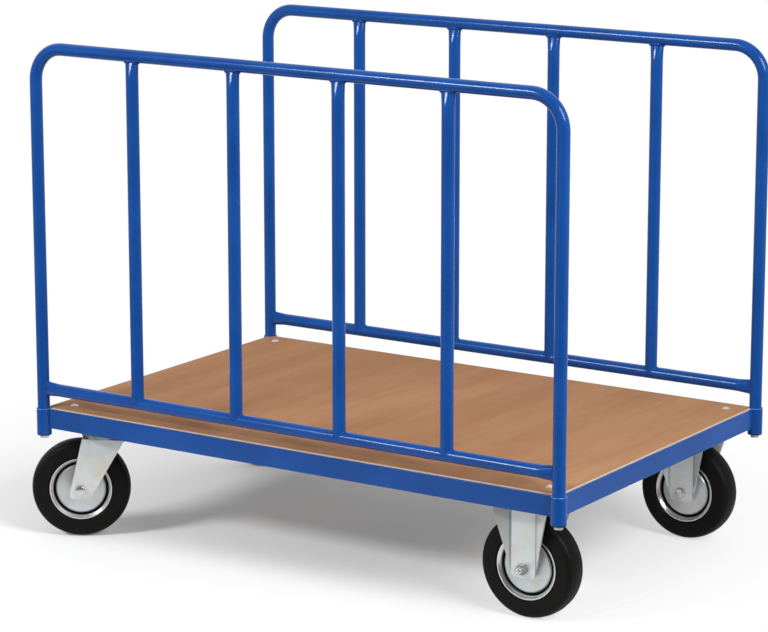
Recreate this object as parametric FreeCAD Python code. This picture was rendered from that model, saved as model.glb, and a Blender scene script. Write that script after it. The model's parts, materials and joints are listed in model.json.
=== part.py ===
import FreeCAD, Part
import math
import os

# Long material cart, in millimetres.
# X runs along the cart, with the swivel casters at -X. Y runs across. Z is up from the floor.
# The origin lies on the floor under the middle of the deck.

V = FreeCAD.Vector
UP = V(0, 0, 1)
ALONG = V(1, 0, 0)
ACROSS = V(0, 1, 0)

# Plan of the cart
LEG_SPAN_X = 1200.0
LEG_SPAN_Y = 790.0
OVERALL_HEIGHT = 1010.0

# Tube of the side bows
TUBE_OD = 25.0
TUBE_WALL = 2.0
BEND_RADIUS = 65.0
BARS_PER_BOW = 4
LOWER_RAIL_RISE = 42.0
PRESSED_WIDTH = 32.0
PRESSED_THICKNESS = 13.0
PRESSED_LENGTH = 40.0

# Rim of the platform
RIM_HEIGHT = 40.0
WEB_THICKNESS = 4.0
LEDGE_WIDTH = 36.0
LEDGE_THICKNESS = 4.0
RIM_EDGE_RADIUS = 1.0

# Corner sleeves and the bolts that hold the legs in them
SLEEVE_WALL = 2.0
SLEEVE_PLAY = 0.5
SLEEVE_DROP = 12.0
PLUG_LENGTH = 25.0
PLUG_PLAY = 0.05
LEG_WASHER_THICKNESS = 2.5
LEG_WASHER_INSET = 0.5
LEG_BOLT_DIA = 10.0
LEG_BOLT_REACH = 22.0
LEG_BOLT_FLATS = 17.0
LEG_BOLT_HEAD = 6.4
THREAD_PLAY = 0.1

# Deck board and its bolts
DECK_THICKNESS = 19.0
DECK_PROUD = 2.0
DECK_EDGE_GAP = 0.75
DECK_CORNER_GAP = 1.5
DECK_EDGE_CHAMFER = 2.0
DECK_BOLT_INSET = 46.0
DECK_BOLT_DIA = 8.0
DECK_BOLT_HEAD_DIA = 17.0
DECK_BOLT_HEAD_HEIGHT = 4.0
DECK_BOLT_RECESS = 0.8
DECK_BOLT_PLAY = 0.3
DECK_BOLT_LENGTH = 27.0

# Corner plates and the channel across the middle
CORNER_PLATE_THICKNESS = 8.0
CORNER_PLATE_MARGIN = 12.0
CORNER_PLATE_CLIP = 24.0
CORNER_PLATE_WELD_GAP = 0.5
CHANNEL_WIDTH = 50.0
CHANNEL_HEIGHT = 23.0
CHANNEL_WALL = 3.0
CHANNEL_BEND = 5.0

# Casters: places, top plate and bolts
FIXED_INSET_X = 103.0
FIXED_INSET_Y = 83.0
SWIVEL_INSET_X = 95.0
SWIVEL_INSET_Y = 74.0
SWIVEL_TRAIL = 48.0
SWIVEL_ANGLE = 34.0
TOP_PLATE_LENGTH = 125.0
TOP_PLATE_WIDTH = 140.0
TOP_PLATE_THICKNESS = 4.0
TOP_PLATE_CORNER = 10.0
BOLT_SPACING_X = 80.0
BOLT_SPACING_Y = 112.0
CASTER_BOLT_DIA = 10.0
CASTER_HOLE_DIA = 11.0
CASTER_BOLT_REACH = 7.0
CASTER_BOLT_FLATS = 17.0
CASTER_BOLT_HEAD = 6.4

# Forks
FORK_SHEET = 3.5
FORK_HUB_PLAY = 1.5
FORK_BEND = 4.0
FORK_FOOT_DEPTH = 18.0
FORK_FOOT_CORNER = 9.0
FIXED_PANEL_WIDTH = 54.0
FIXED_WING_ANGLE = 30.0
FIXED_TOP_WIDTH = 124.0
FIXED_FOOT_WIDTH = 47.0
SWIVEL_CREASE = 26.0
SWIVEL_WING_ANGLE = 12.0
SWIVEL_TOP_REAR = 5.0
SWIVEL_TOP_FRONT = 91.0
SWIVEL_FOOT_REAR = 24.0
SWIVEL_FOOT_FRONT = 20.0
CROWN_THICKNESS = 4.0
CROWN_CORNER = 10.0
CROWN_GAP = 2.5

# Swivel head
HEAD_HEIGHT = 26.5
BALL_DIA = 8.0
BALL_COUNT = 12
BALL_PITCH_DIA = 58.0
BALL_PLAY = 0.3
RACE_WIDTH = 15.0
RACE_GROOVE = 2.0
KING_PIN_DIA = 16.0
KING_PIN_PLAY = 0.08
KING_PIN_HEAD_DIA = 26.0
KING_PIN_HEAD = 2.5
BEARING_WASHER_DIA = 34.0
BEARING_WASHER_THICKNESS = 3.0
BEARING_WASHER_PLAY = 0.3
DUST_RING_WALL = 1.2
DUST_RING_FOOT_DIA = 88.0
DUST_RING_TOP_DIA = 112.0
DUST_RING_GAP = 1.0

# Wheels
WHEEL_DIA = 200.0
TYRE_WIDTH = 50.0
TYRE_SHOULDER = 12.0
TYRE_CROWN = 1.5
SIDEWALL_DIA = 175.0
RIM_SHEET = 2.0
BEAD_DIA = 126.0
BEAD_INSET = 2.0
BED_DIA = 117.0
DISC_DIA = 104.0
DISC_INSET = 7.0
DISC_DOME = 4.0
DISC_EDGE = 4.0
RIM_SEAT_PLAY = 0.2
HUB_LENGTH = 58.0
HUB_OD = 34.0
HUB_BORE = 28.0
ROLLER_SLEEVE_LENGTH = 50.0
AXLE_SLEEVE_OD = 20.0
AXLE_RUNNING_PLAY = 0.05
AXLE_BOLT_DIA = 12.0
AXLE_BOLT_PLAY = 0.1
AXLE_FLATS = 19.0
AXLE_HEAD = 7.5
AXLE_NUT = 10.0
AXLE_END = 7.0
AXLE_END_BEVEL = 1.0
HEX_BEVEL_ANGLE = 30.0
HEX_FACE_INSET = 0.4

# Levels, from the floor up
AXLE_Z = WHEEL_DIA / 2
CROWN_BOTTOM = WHEEL_DIA + CROWN_GAP
CROWN_TOP = CROWN_BOTTOM + CROWN_THICKNESS
TOP_PLATE_BOTTOM = CROWN_TOP + HEAD_HEIGHT
CASTER_TOP = TOP_PLATE_BOTTOM + TOP_PLATE_THICKNESS
LEDGE_BOTTOM = CASTER_TOP + CORNER_PLATE_THICKNESS
LEDGE_TOP = LEDGE_BOTTOM + LEDGE_THICKNESS
DECK_TOP = LEDGE_TOP + DECK_THICKNESS
RIM_TOP = DECK_TOP - DECK_PROUD
RIM_BOTTOM = RIM_TOP - RIM_HEIGHT
SLEEVE_BOTTOM = RIM_BOTTOM - SLEEVE_DROP
LOWER_RAIL_Z = RIM_TOP + LOWER_RAIL_RISE
TOP_RAIL_Z = OVERALL_HEIGHT - TUBE_OD / 2

# Places in plan
LEG_X = LEG_SPAN_X / 2
LEG_Y = LEG_SPAN_Y / 2
FACE_X = LEG_X + WEB_THICKNESS / 2
FACE_Y = LEG_Y + WEB_THICKNESS / 2
SLEEVE_BORE = TUBE_OD + 2 * SLEEVE_PLAY
SLEEVE_OD = SLEEVE_BORE + 2 * SLEEVE_WALL
CASTER_X = {-1: LEG_X - SWIVEL_INSET_X, 1: LEG_X - FIXED_INSET_X}
CASTER_Y = {-1: LEG_Y - SWIVEL_INSET_Y, 1: LEG_Y - FIXED_INSET_Y}
CORNERS = [(sx, sy) for sx in (-1, 1) for sy in (-1, 1)]
SIDES = {"near": -1, "far": 1}
FORK_GAP = HUB_LENGTH + 2 * FORK_HUB_PLAY


def box(x0, x1, y0, y1, z0, z1):
    """A block between two corners."""
    return Part.makeBox(x1 - x0, y1 - y0, z1 - z0, V(x0, y0, z0))


def rod(dia, start, end):
    """A round bar between two points."""
    return Part.makeCylinder(dia / 2, (end - start).Length, start, end - start)


def ring(outer, inner, start, end):
    """A round tube between two points."""
    return rod(outer, start, end).cut(rod(inner, start, end))


def polygon_prism(points, direction):
    """A prism on a closed outline of points."""
    return Part.Face(Part.makePolygon(points + points[:1])).extrude(direction)


def sheet_outline(path, thickness):
    """Closed outline of a bent sheet: a 2-D path and its mitred offset to the left."""
    normals = []
    for (ax, ay), (bx, by) in zip(path, path[1:]):
        length = math.hypot(bx - ax, by - ay)
        normals.append((-(by - ay) / length, (bx - ax) / length))
    offset = []
    for i, (x, y) in enumerate(path):
        n0 = normals[max(i - 1, 0)]
        n1 = normals[min(i, len(normals) - 1)]
        reach = thickness / (1 + n0[0] * n1[0] + n0[1] * n1[1])
        offset.append((x + (n0[0] + n1[0]) * reach, y + (n0[1] + n1[1]) * reach))
    return path + offset[::-1]


def spun(outline, axis=ACROSS):
    """A ring from a closed (radius, offset) outline, turned about Y at the axle or about Z."""
    if axis == UP:
        points = [V(r, 0, w) for r, w in outline]
    else:
        points = [V(r, w, 0) for r, w in outline]
    face = Part.Face(Part.makePolygon(points + points[:1]))
    return face.revolve(V(0, 0, 0), axis, 360)


def hexagon(flats, seat, end):
    """A nut or bolt head from its seat to its free end, where the corners are bevelled."""
    length = (end - seat).Length
    corner = flats / math.sqrt(3)
    turns = [math.radians(60 * i) for i in range(6)]
    bar = polygon_prism([V(corner * math.cos(a), corner * math.sin(a), 0) for a in turns], UP * length)
    face = flats / 2 - HEX_FACE_INSET
    drop = (flats - face) * math.tan(math.radians(HEX_BEVEL_ANGLE))
    bevel = spun([(0, 0), (flats, 0), (flats, length - drop), (face, length), (0, length)], UP)
    head = bar.common(bevel)
    head.Placement = FreeCAD.Placement(seat, FreeCAD.Rotation(UP, end - seat))
    return head


def at_corners(make):
    """One compound of the solids that a function makes for each corner of the cart."""
    return Part.makeCompound([make(sx, sy) for sx, sy in CORNERS])


def save(name, shape):
    """Write one piece, or one group of like pieces, to its own file."""
    shape.exportStep(os.path.join("parts", name + ".step"))


# Platform

def leg_axis(sx, sy, z):
    return V(sx * LEG_X, sy * LEG_Y, z)


def sleeve_space(dia):
    """Room for the corner sleeves, as one shape to cut with."""
    solids = [rod(dia, leg_axis(sx, sy, SLEEVE_BOTTOM), leg_axis(sx, sy, DECK_TOP)) for sx, sy in CORNERS]
    return Part.makeCompound(solids)


def rim_rail(half_length):
    """One rail of the rim along X, outer face at y = 0 and ledge towards +Y, with mitred ends."""
    depth = WEB_THICKNESS + LEDGE_WIDTH
    section = [(0, RIM_BOTTOM), (WEB_THICKNESS, RIM_BOTTOM), (WEB_THICKNESS, LEDGE_BOTTOM),
               (depth, LEDGE_BOTTOM), (depth, LEDGE_TOP), (WEB_THICKNESS, LEDGE_TOP),
               (WEB_THICKNESS, RIM_TOP), (0, RIM_TOP)]
    start = [V(-half_length, y, z) for y, z in section]
    rail = polygon_prism(start, ALONG * (2 * half_length))
    rounded = [e for e in rail.Edges if e.BoundBox.XLength > half_length
               and min(abs(e.BoundBox.ZMin - RIM_TOP), abs(e.BoundBox.ZMin - RIM_BOTTOM)) < RIM_EDGE_RADIUS]
    rail = rail.makeFillet(RIM_EDGE_RADIUS, rounded)
    plan = [V(-half_length, 0, RIM_BOTTOM), V(half_length, 0, RIM_BOTTOM),
            V(half_length - depth, depth, RIM_BOTTOM), V(depth - half_length, depth, RIM_BOTTOM)]
    return rail.common(polygon_prism(plan, UP * RIM_HEIGHT))


def make_rim():
    sleeves = sleeve_space(SLEEVE_OD)
    for name, side in SIDES.items():
        rail = rim_rail(FACE_X)
        rail.translate(V(0, -FACE_Y, 0))
        if side > 0:
            rail.rotate(V(0, 0, 0), UP, 180)
        save(name + "_side_rail", rail.cut(sleeves))
    for name, turn in (("swivel", -90), ("fixed", 90)):
        rail = rim_rail(FACE_Y)
        rail.translate(V(0, -FACE_X, 0))
        rail.rotate(V(0, 0, 0), UP, turn)
        save(name + "_end_rail", rail.cut(sleeves))


def make_sleeves():
    def sleeve(sx, sy):
        return ring(SLEEVE_OD, SLEEVE_BORE, leg_axis(sx, sy, SLEEVE_BOTTOM), leg_axis(sx, sy, RIM_TOP))

    save("corner_sleeves", at_corners(sleeve))


def caster_centre(sx, sy, z=0.0):
    return V(sx * CASTER_X[sx], sy * CASTER_Y[sx], z)


def bolt_points(z):
    """The four bolt places of a caster plate about its own centre."""
    return [V(sx * BOLT_SPACING_X / 2, sy * BOLT_SPACING_Y / 2, z) for sx, sy in CORNERS]


def deck_bolt_point(sx, sy, z):
    return V(sx * (FACE_X - DECK_BOLT_INSET), sy * (FACE_Y - DECK_BOLT_INSET), z)


def corner_plate(sx, sy):
    """Plate under the ledges of one corner, tapped for the caster's bolts and the deck bolt."""
    inner_x = CASTER_X[sx] - TOP_PLATE_LENGTH / 2 - CORNER_PLATE_MARGIN
    inner_y = CASTER_Y[sx] - TOP_PLATE_WIDTH / 2 - CORNER_PLATE_MARGIN
    outer_x = LEG_X - WEB_THICKNESS / 2 - CORNER_PLATE_WELD_GAP
    outer_y = LEG_Y - WEB_THICKNESS / 2 - CORNER_PLATE_WELD_GAP
    plan = [(inner_x, inner_y), (outer_x, inner_y), (outer_x, outer_y - CORNER_PLATE_CLIP),
            (outer_x - CORNER_PLATE_CLIP, outer_y), (inner_x, outer_y)]
    points = [V(sx * x, sy * y, CASTER_TOP) for x, y in plan]
    plate = polygon_prism(points, UP * CORNER_PLATE_THICKNESS)
    for point in bolt_points(0):
        hole = caster_centre(sx, sy) + point
        plate = plate.cut(rod(CASTER_BOLT_DIA + 2 * THREAD_PLAY, hole, hole + UP * LEDGE_TOP))
    hole = deck_bolt_point(sx, sy, 0)
    return plate.cut(rod(DECK_BOLT_DIA + 2 * THREAD_PLAY, hole, hole + UP * LEDGE_TOP))


def make_corner_plates():
    save("corner_plates", at_corners(corner_plate))


def make_cross_channel():
    """Channel across the middle, open below, with its ends notched round the ledges."""
    half = CHANNEL_WIDTH / 2
    reach = LEG_Y - WEB_THICKNESS / 2
    bottom = LEDGE_TOP - CHANNEL_HEIGHT
    outer = box(-half, half, -reach, reach, bottom, LEDGE_TOP)
    inner = box(CHANNEL_WALL - half, half - CHANNEL_WALL, -reach, reach, bottom, LEDGE_TOP - CHANNEL_WALL)

    def top_edges(shape):
        return [e for e in shape.Edges
                if e.BoundBox.YLength > reach and e.BoundBox.ZMin > bottom + CHANNEL_WALL]

    outer = outer.makeFillet(CHANNEL_BEND, top_edges(outer))
    inner = inner.makeFillet(CHANNEL_BEND - CHANNEL_WALL, top_edges(inner))
    channel = outer.cut(inner)
    for side in SIDES.values():
        ends = sorted((side * reach, side * (reach - LEDGE_WIDTH)))
        channel = channel.cut(box(-half, half, ends[0], ends[1], LEDGE_BOTTOM, LEDGE_TOP))
    save("cross_channel", channel)


def make_deck():
    half_x = LEG_X - WEB_THICKNESS / 2 - DECK_EDGE_GAP
    half_y = LEG_Y - WEB_THICKNESS / 2 - DECK_EDGE_GAP
    board = box(-half_x, half_x, -half_y, half_y, LEDGE_TOP, DECK_TOP)
    board = board.cut(sleeve_space(SLEEVE_OD + 2 * DECK_CORNER_GAP))
    rim = [e for e in board.Edges if abs(e.BoundBox.ZMin - DECK_TOP) < DECK_EDGE_CHAMFER
           and e.BoundBox.ZLength < DECK_EDGE_CHAMFER]
    board = board.makeChamfer(DECK_EDGE_CHAMFER, rim)
    for sx, sy in CORNERS:
        seat = deck_bolt_point(sx, sy, DECK_TOP - DECK_BOLT_RECESS)
        board = board.cut(rod(DECK_BOLT_DIA + 2 * DECK_BOLT_PLAY, deck_bolt_point(sx, sy, LEDGE_TOP), seat))
        board = board.cut(rod(DECK_BOLT_HEAD_DIA + 2 * DECK_BOLT_PLAY, seat, seat + UP * DECK_BOLT_RECESS))
    save("deck_board", board)


def deck_bolt(sx, sy):
    """Round-headed bolt: domed head in the board, shank tapped into the corner plate."""
    head_r = DECK_BOLT_HEAD_DIA / 2
    rise = DECK_BOLT_HEAD_HEIGHT
    dome_r = (head_r ** 2 + rise ** 2) / (2 * rise)
    half_angle = math.asin(head_r / dome_r) / 2
    middle = V(dome_r * math.sin(half_angle), 0, rise - dome_r + dome_r * math.cos(half_angle))
    top = V(0, 0, rise)
    edge = V(head_r, 0, 0)
    foot = V(DECK_BOLT_DIA / 2, 0, 0)
    tip = V(DECK_BOLT_DIA / 2, 0, -DECK_BOLT_LENGTH)
    end = V(0, 0, -DECK_BOLT_LENGTH)
    outline = [Part.Arc(top, middle, edge).toShape()]
    outline += Part.makePolygon([edge, foot, tip, end, top]).Edges
    bolt = Part.Face(Part.Wire(outline)).revolve(V(0, 0, 0), UP, 360)
    bolt.translate(deck_bolt_point(sx, sy, DECK_TOP - DECK_BOLT_RECESS))
    return bolt


def make_deck_bolts():
    save("deck_bolts", at_corners(deck_bolt))


# Side bows

def hoop_solid(y, dia):
    """A round bar bent into the hoop of a bow: up one leg, along the top, down the other leg."""
    shoulder = TOP_RAIL_Z - BEND_RADIUS
    flat = LEG_X - BEND_RADIUS
    dip = BEND_RADIUS * (1 - math.sqrt(0.5))
    left = [V(-LEG_X, y, SLEEVE_BOTTOM), V(-LEG_X, y, shoulder),
            V(dip - LEG_X, y, TOP_RAIL_Z - dip), V(-flat, y, TOP_RAIL_Z)]
    right = [V(-p.x, p.y, p.z) for p in left]
    path = Part.Wire([
        Part.LineSegment(left[0], left[1]).toShape(), Part.Arc(left[1], left[2], left[3]).toShape(),
        Part.LineSegment(left[3], right[3]).toShape(), Part.Arc(right[3], right[2], right[1]).toShape(),
        Part.LineSegment(right[1], right[0]).toShape()])
    section = Part.Wire([Part.Circle(left[0], UP, dia / 2).toShape()])
    return path.makePipeShell([section], True, False)


def pressed_bar(length, both_ends, shrink):
    """A round bar up Z with its top, or both ends, pressed flat: wide along X, thin along Y."""
    wide = PRESSED_WIDTH / 2 - shrink
    thin = PRESSED_THICKNESS / 2 - shrink
    round_r = TUBE_OD / 2 - shrink

    def flat(z):
        return Part.Wire([Part.Ellipse(V(0, 0, z), wide, thin).toShape()])

    def full(z):
        return Part.Wire([Part.Circle(V(0, 0, z), UP, round_r).toShape()])

    foot = [flat(0), full(PRESSED_LENGTH)] if both_ends else [full(0)]
    return Part.makeLoft(foot + [full(length - PRESSED_LENGTH), flat(length)], True, True)


def pressed_tube(length, both_ends):
    """Tube with its top, or both ends, pressed flat."""
    return pressed_bar(length, both_ends, 0.0).cut(pressed_bar(length, both_ends, TUBE_WALL))


def lower_rail(y):
    """Rail between the legs of a bow, its pressed ends coped to the legs."""
    rail = pressed_tube(LEG_SPAN_X, True)
    rail.rotate(V(0, 0, 0), ACROSS, 90)
    rail.translate(V(-LEG_X, y, LOWER_RAIL_Z))
    for sx in (-1, 1):
        foot = V(sx * LEG_X, y, SLEEVE_BOTTOM)
        rail = rail.cut(rod(TUBE_OD, foot, foot + UP * (TOP_RAIL_Z - SLEEVE_BOTTOM)))
    return rail


def bow_bars(y):
    """Upright bars from lower rail to hoop, evenly spaced, with pressed tops and round feet, all coped."""
    pitch = LEG_SPAN_X / (BARS_PER_BOW + 1)
    bars = []
    for i in range(BARS_PER_BOW):
        x = -LEG_X + pitch * (i + 1)
        bar = pressed_tube(TOP_RAIL_Z - LOWER_RAIL_Z, False)
        bar.translate(V(x, y, LOWER_RAIL_Z))
        for z in (LOWER_RAIL_Z, TOP_RAIL_Z):
            bar = bar.cut(rod(TUBE_OD, V(x - pitch / 2, y, z), V(x + pitch / 2, y, z)))
        bars.append(bar)
    return Part.makeCompound(bars)


def leg_plug(sx, sy):
    """Threaded plug in the foot of a leg."""
    foot = leg_axis(sx, sy, SLEEVE_BOTTOM)
    return ring(TUBE_OD - 2 * TUBE_WALL - 2 * PLUG_PLAY, LEG_BOLT_DIA + 2 * THREAD_PLAY,
                foot, foot + UP * PLUG_LENGTH)


def leg_washer(sx, sy):
    foot = leg_axis(sx, sy, SLEEVE_BOTTOM)
    return ring(SLEEVE_OD - 2 * LEG_WASHER_INSET, LEG_BOLT_DIA + 2 * THREAD_PLAY,
                foot - UP * LEG_WASHER_THICKNESS, foot)


def leg_bolt(sx, sy):
    seat = leg_axis(sx, sy, SLEEVE_BOTTOM - LEG_WASHER_THICKNESS)
    head = hexagon(LEG_BOLT_FLATS, seat, seat - UP * LEG_BOLT_HEAD)
    return head.fuse(rod(LEG_BOLT_DIA, seat, seat + UP * LEG_BOLT_REACH)).removeSplitter()


def make_bows():
    for name, side in SIDES.items():
        y = side * LEG_Y
        hoop = hoop_solid(y, TUBE_OD).cut(hoop_solid(y, TUBE_OD - 2 * TUBE_WALL))
        save(name + "_bow_hoop", hoop)
        save(name + "_bow_lower_rail", lower_rail(y))
        save(name + "_bow_bars", bow_bars(y))
    save("leg_plugs", at_corners(leg_plug))
    save("leg_washers", at_corners(leg_washer))
    save("leg_bolts", at_corners(leg_bolt))


# Casters, each made about its own top plate centre and then placed

def top_plate(bottom):
    """Rounded plate with four bolt holes."""
    half_x = TOP_PLATE_LENGTH / 2
    half_y = TOP_PLATE_WIDTH / 2
    plate = box(-half_x, half_x, -half_y, half_y, bottom, bottom + TOP_PLATE_THICKNESS)
    upright = [e for e in plate.Edges if e.BoundBox.ZLength > TOP_PLATE_THICKNESS / 2]
    plate = plate.makeFillet(TOP_PLATE_CORNER, upright)
    for point in bolt_points(bottom):
        plate = plate.cut(rod(CASTER_HOLE_DIA, point, point + UP * TOP_PLATE_THICKNESS))
    return plate


def leg_outline(top, foot, top_z, half_depth):
    """Side view of a fork leg as a block to trim with, from its (rear, front) places at the top and foot."""
    low = AXLE_Z - FORK_FOOT_DEPTH
    points = [V(top[0], -half_depth, top_z), V(top[1], -half_depth, top_z),
              V(foot[1], -half_depth, low), V(foot[0], -half_depth, low)]
    block = polygon_prism(points, ACROSS * (2 * half_depth))
    corners = [e for e in block.Edges if e.BoundBox.YLength > half_depth and e.BoundBox.ZMax < AXLE_Z]
    return block.makeFillet(FORK_FOOT_CORNER, corners)


def fork_leg(path, top_z, outline):
    """One fork leg from the plan of its bent sheet, trimmed to its side view."""
    section = sheet_outline(path, FORK_SHEET)
    bottom = outline.BoundBox.ZMin
    leg = polygon_prism([V(x, y, bottom) for x, y in section], UP * (top_z - bottom))
    creases = [e for e in leg.Edges if e.BoundBox.ZLength > FORK_SHEET
               and any(abs(e.BoundBox.XMin - x) + abs(e.BoundBox.YMin - y) < FORK_SHEET
                       for x, y in path[1:-1])]
    leg = leg.makeFillet(FORK_BEND, creases)
    return leg.common(outline)


def both_legs(leg):
    """A leg and its mirror image across the wheel."""
    return [leg, leg.mirror(V(0, 0, 0), ACROSS)]


def axle_hole(axle_x):
    reach = ACROSS * TOP_PLATE_WIDTH
    centre = V(axle_x, 0, AXLE_Z)
    return rod(AXLE_BOLT_DIA + 2 * AXLE_BOLT_PLAY, centre - reach, centre + reach)


def fixed_fork():
    """Top plate with two legs whose edges are bent outwards."""
    panel = FIXED_PANEL_WIDTH / 2
    edge = FIXED_TOP_WIDTH / 2
    inside = FORK_GAP / 2
    flare = (edge - panel) * math.tan(math.radians(FIXED_WING_ANGLE))
    path = [(-edge, inside + flare), (-panel, inside), (panel, inside), (edge, inside + flare)]
    foot = FIXED_FOOT_WIDTH / 2
    outline = leg_outline((-edge, edge), (-foot, foot), TOP_PLATE_BOTTOM, TOP_PLATE_WIDTH)
    legs = both_legs(fork_leg(path, TOP_PLATE_BOTTOM, outline))
    return top_plate(TOP_PLATE_BOTTOM).multiFuse(legs).removeSplitter().cut(axle_hole(0.0))


def ball_level():
    return CROWN_TOP + HEAD_HEIGHT / 2


def race_ring(base, floor, lip):
    """Ring round the swivel axis with the groove of the balls: its back, the groove's floor and the lips."""
    pitch = BALL_PITCH_DIA / 2
    half = RACE_WIDTH / 2
    room = BALL_DIA / 2 + BALL_PLAY
    outline = [(pitch - half, base), (pitch + half, base), (pitch + half, lip), (pitch + room, lip),
               (pitch + room, floor), (pitch - room, floor), (pitch - room, lip), (pitch - half, lip)]
    return spun(outline, UP)


def swivel_fork():
    """Crown with the lower ball race and two raked legs, front edges bent outwards."""
    axle_x = -SWIVEL_TRAIL
    rear = axle_x + SWIVEL_TOP_REAR
    front = axle_x + SWIVEL_TOP_FRONT
    crease = axle_x + SWIVEL_CREASE
    foot_rear = axle_x - SWIVEL_FOOT_REAR
    foot_front = axle_x + SWIVEL_FOOT_FRONT
    inside = FORK_GAP / 2
    flare = (front - crease) * math.tan(math.radians(SWIVEL_WING_ANGLE))
    path = [(foot_rear, inside), (crease, inside), (front, inside + flare)]
    outline = leg_outline((rear, front), (foot_rear, foot_front), CROWN_TOP, TOP_PLATE_WIDTH)
    legs = both_legs(fork_leg(path, CROWN_TOP, outline))
    half = [(rear, fork_outside()), (crease, fork_outside()), (front, inside + flare + FORK_SHEET)]
    plan = half + [(x, -y) for x, y in half[::-1]]
    crown = polygon_prism([V(x, y, CROWN_BOTTOM) for x, y in plan], UP * CROWN_THICKNESS)
    upright = [e for e in crown.Edges if e.BoundBox.ZLength > CROWN_THICKNESS / 2
               and min(abs(e.BoundBox.XMin - rear), abs(e.BoundBox.XMin - front)) < CROWN_THICKNESS]
    crown = crown.makeFillet(CROWN_CORNER, upright)
    floor = ball_level() - BALL_DIA / 2 - BALL_PLAY
    race = race_ring(CROWN_TOP, floor, floor + RACE_GROOVE)
    fork = crown.multiFuse(legs + [race]).removeSplitter()
    bore = KING_PIN_DIA + 2 * KING_PIN_PLAY
    return fork.cut(rod(bore, V(0, 0, 0), UP * CASTER_TOP)).cut(axle_hole(axle_x))


def swivel_plate():
    """Top plate with the upper ball race below it and the hole of the king pin."""
    floor = ball_level() + BALL_DIA / 2
    race = race_ring(TOP_PLATE_BOTTOM, floor, floor - RACE_GROOVE)
    plate = top_plate(TOP_PLATE_BOTTOM).fuse(race).removeSplitter()
    return plate.cut(rod(KING_PIN_DIA, UP * TOP_PLATE_BOTTOM, UP * CASTER_TOP))


def ball():
    """One bearing ball with few faces: what three crossed octagon bars have in common."""
    corner = BALL_DIA / 2 / math.cos(math.pi / 8)
    turns = [math.pi / 8 + i * math.pi / 4 for i in range(8)]
    bar = polygon_prism([V(corner * math.cos(a), corner * math.sin(a), -BALL_DIA) for a in turns],
                        UP * (2 * BALL_DIA))
    solid = bar
    for axis in (ALONG, ACROSS):
        crossed = bar.copy()
        crossed.rotate(V(0, 0, 0), axis, 90)
        solid = solid.common(crossed)
    return solid


def ball_row():
    balls = []
    for i in range(BALL_COUNT):
        one = ball()
        one.translate(V(BALL_PITCH_DIA / 2, 0, ball_level()))
        one.rotate(V(0, 0, 0), UP, i * 360 / BALL_COUNT)
        balls.append(one)
    return Part.makeCompound(balls)


def bearing_washer_span():
    top = CROWN_BOTTOM - BEARING_WASHER_PLAY
    return top - BEARING_WASHER_THICKNESS, top


def king_pin():
    """Pin riveted into the top plate, with a head below the bearing washer."""
    seat = bearing_washer_span()[0]
    shank = rod(KING_PIN_DIA, UP * seat, UP * CASTER_TOP)
    head = rod(KING_PIN_HEAD_DIA, UP * (seat - KING_PIN_HEAD), UP * seat)
    return shank.fuse(head).removeSplitter()


def bearing_washer():
    bottom, top = bearing_washer_span()
    return ring(BEARING_WASHER_DIA, KING_PIN_DIA, UP * bottom, UP * top)


def dust_ring():
    """Dished skirt round the ball race, hung from the top plate."""
    top = DUST_RING_TOP_DIA / 2
    foot = DUST_RING_FOOT_DIA / 2
    low = CROWN_TOP + DUST_RING_GAP
    return spun([(foot, low), (top, TOP_PLATE_BOTTOM), (top - DUST_RING_WALL, TOP_PLATE_BOTTOM),
                 (foot - DUST_RING_WALL, low)], UP)


def caster_bolt(point):
    foot = V(point.x, point.y, TOP_PLATE_BOTTOM)
    head = hexagon(CASTER_BOLT_FLATS, foot, foot - UP * CASTER_BOLT_HEAD)
    shank = rod(CASTER_BOLT_DIA, foot, V(point.x, point.y, CASTER_TOP + CASTER_BOLT_REACH))
    return head.fuse(shank).removeSplitter()


def caster_bolts():
    return Part.makeCompound([caster_bolt(caster_centre(sx, sy) + point)
                              for sx, sy in CORNERS for point in bolt_points(0)])


# Axle and wheel, made about the axle with Y along it

def fork_outside():
    return FORK_GAP / 2 + FORK_SHEET


def axle_bolt():
    """Bolt through both fork legs, head at +Y and threaded end at -Y."""
    seat = ACROSS * fork_outside()
    tip = -seat - ACROSS * (AXLE_NUT + AXLE_END)
    shank = rod(AXLE_BOLT_DIA, tip, seat)
    rim = [e for e in shank.Edges if e.BoundBox.YMax < tip.y + AXLE_END_BEVEL]
    shank = shank.makeChamfer(AXLE_END_BEVEL, rim)
    return hexagon(AXLE_FLATS, seat, seat + ACROSS * AXLE_HEAD).fuse(shank).removeSplitter()


def axle_nut():
    seat = -ACROSS * fork_outside()
    end = seat - ACROSS * AXLE_NUT
    nut = hexagon(AXLE_FLATS, seat, end)
    return nut.cut(rod(AXLE_BOLT_DIA + 2 * THREAD_PLAY, end, seat))


def axle_sleeve():
    end = ACROSS * (FORK_GAP / 2)
    return ring(AXLE_SLEEVE_OD, AXLE_BOLT_DIA + 2 * AXLE_BOLT_PLAY, -end, end)


def roller_sleeve():
    end = ACROSS * (ROLLER_SLEEVE_LENGTH / 2)
    return ring(HUB_BORE, AXLE_SLEEVE_OD + 2 * AXLE_RUNNING_PLAY, -end, end)


def hub_tube():
    end = ACROSS * (HUB_LENGTH / 2)
    return ring(HUB_OD, HUB_BORE, -end, end)


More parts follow.
